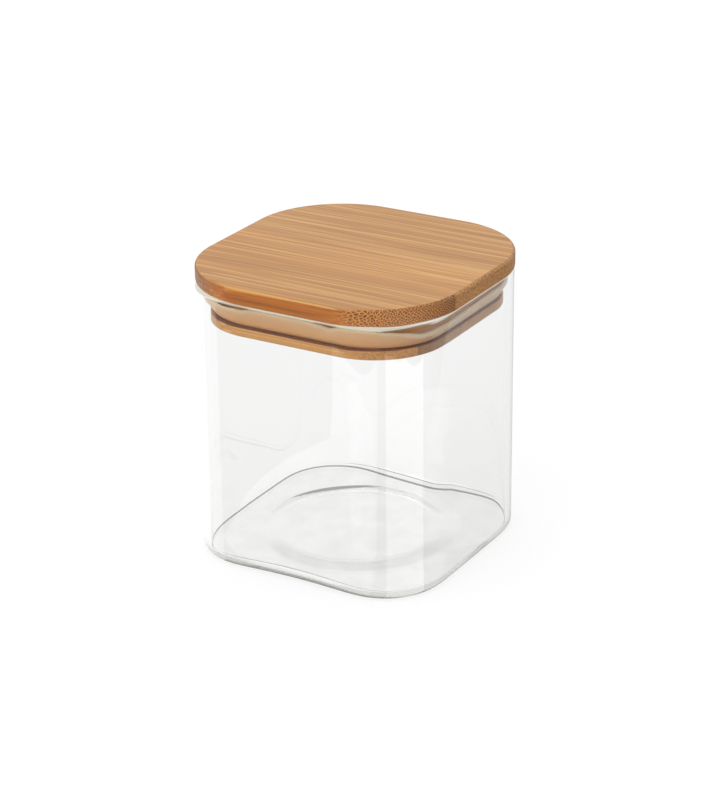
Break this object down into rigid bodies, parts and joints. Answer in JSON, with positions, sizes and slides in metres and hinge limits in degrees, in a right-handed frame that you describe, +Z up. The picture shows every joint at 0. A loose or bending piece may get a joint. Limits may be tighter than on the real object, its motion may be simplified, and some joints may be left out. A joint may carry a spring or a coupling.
{
  "type": "storage canister",
  "caption": "Square glass storage jar with round corners and a lift-off laminated bamboo lid, sealed by a silicone ring in a groove of the lid's plug.",
  "frame": {"origin": "middle of the base, on the surface that the jar stands on", "axes": "+Z up, +X along the grain of the lid, -Y towards the side that shows the grain lengthwise"},
  "size_m": [0.1, 0.1, 0.1075],
  "materials": {
    "glass": "clear blown glass, polished",
    "silicone": "translucent milky silicone, satin",
    "bamboo": "laminated bamboo, clear satin lacquer"
  },
  "bodies": {
    "jar": {"glass_body": "glass"},
    "lid": {"plate_stave_1": "bamboo", "plate_stave_2": "bamboo", "plate_stave_3": "bamboo", "plate_stave_4": "bamboo", "plate_stave_5": "bamboo", "plug_stave_1": "bamboo", "plug_stave_2": "bamboo", "plug_stave_3": "bamboo", "plug_stave_4": "bamboo", "plug_stave_5": "bamboo", "plug_stave_6": "bamboo", "plug_stave_7": "bamboo", "silicone_seal": "silicone"}
  },
  "joints": [
    {"name": "lid_lift", "type": "slide", "parent": "jar", "child": "lid", "axis": [0, 0, 1], "range_m": [0, 0.05]}
  ]
}
